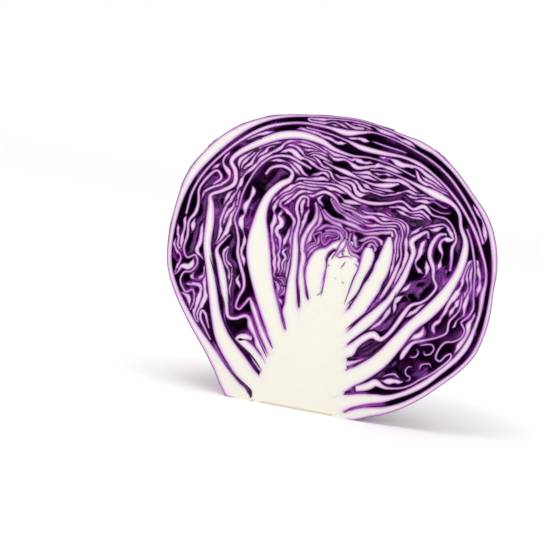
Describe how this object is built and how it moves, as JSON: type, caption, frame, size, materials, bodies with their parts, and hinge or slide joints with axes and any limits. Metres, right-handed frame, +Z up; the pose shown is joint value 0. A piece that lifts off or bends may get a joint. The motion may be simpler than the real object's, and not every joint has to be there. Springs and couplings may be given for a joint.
{
  "type": "half of a red cabbage head",
  "caption": "Half of a red cabbage head, cut lengthwise, standing on its trimmed stem end with the folded leaves showing on the cut face.",
  "frame": {"origin": "on the flat stem end that the half stands on, 10 mm behind the cut face", "axes": "+Z up along the stem, +X to the right seen from the cut face, +Y into the head, so the cut face faces -Y"},
  "size_m": [0.1593, 0.0821, 0.1463],
  "materials": {
    "core": "moist cream flesh, satin",
    "leaf": "white and lavender flesh between dark purple skins, satin",
    "wrapper": "waxy mauve bloom over dark purple, pale veins"
  },
  "bodies": {
    "root": {"core_stem": "core", "wrapper_back": "wrapper", "wrapper_left": "wrapper", "wrapper_right": "wrapper", "left_leaf_1": "leaf", "left_leaf_2": "leaf", "left_leaf_3": "leaf", "left_leaf_4": "leaf", "left_leaf_5": "leaf", "left_leaf_6": "leaf", "left_leaf_7": "leaf", "left_leaf_8": "leaf", "left_fold_1": "leaf", "left_fold_2": "leaf", "right_leaf_1": "leaf", "right_leaf_2": "leaf", "right_leaf_3": "leaf", "right_leaf_4": "leaf", "right_leaf_5": "leaf", "right_leaf_6": "leaf", "right_fold_1": "leaf", "crown_leaf_1": "leaf", "crown_leaf_2": "leaf", "crown_leaf_3": "leaf", "crown_leaf_4": "leaf", "crown_leaf_5": "leaf", "heart_leaf_1": "leaf", "heart_leaf_2": "leaf"}
  },
  "joints": []
}
